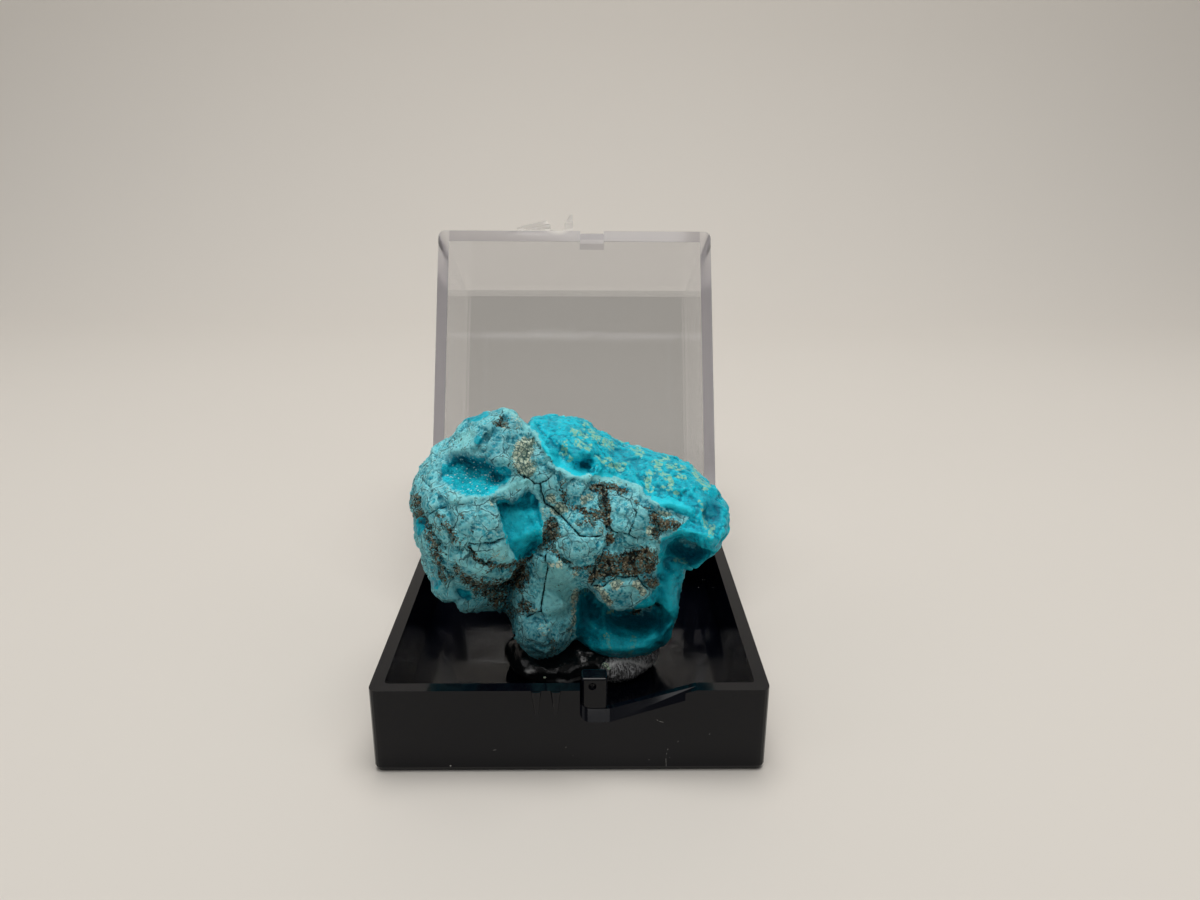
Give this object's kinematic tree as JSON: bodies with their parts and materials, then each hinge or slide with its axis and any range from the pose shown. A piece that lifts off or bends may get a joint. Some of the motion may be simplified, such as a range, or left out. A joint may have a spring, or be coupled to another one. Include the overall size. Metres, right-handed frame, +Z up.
{
  "type": "raw chrysocolla mineral specimen in hinged display box",
  "caption": "Rough blue-green mineral lump held by putty in a shallow black tray, with a clear lid that stands open on a rear hinge and closes over it.",
  "frame": {"origin": "centre of the tray's flat underside", "axes": "+Z up, front of the box and the stone's shown face towards -Y, +X to the right seen from the front; the hinge axis is parallel to X"},
  "size_m": [0.032, 0.0633, 0.0412],
  "materials": {
    "black_plastic": "moulded black polystyrene, glossy with fine scratches",
    "clear_plastic": "clear moulded polystyrene, polished",
    "chrysocolla": "rough turquoise to cyan stone with brown matrix, waxy in the hollows",
    "putty": "glossy clear gel, silvery where it is pulled into strings"
  },
  "bodies": {
    "base": {"tray": "black_plastic", "chrysocolla": "chrysocolla", "mounting_putty": "putty"},
    "lid": {"lid": "clear_plastic"}
  },
  "joints": [
    {"name": "lid_hinge", "type": "hinge", "parent": "base", "child": "lid", "pos_m": [0, 0.015, 0.01025], "axis": [1, 0, 0], "range_deg": [0, 117]}
  ]
}
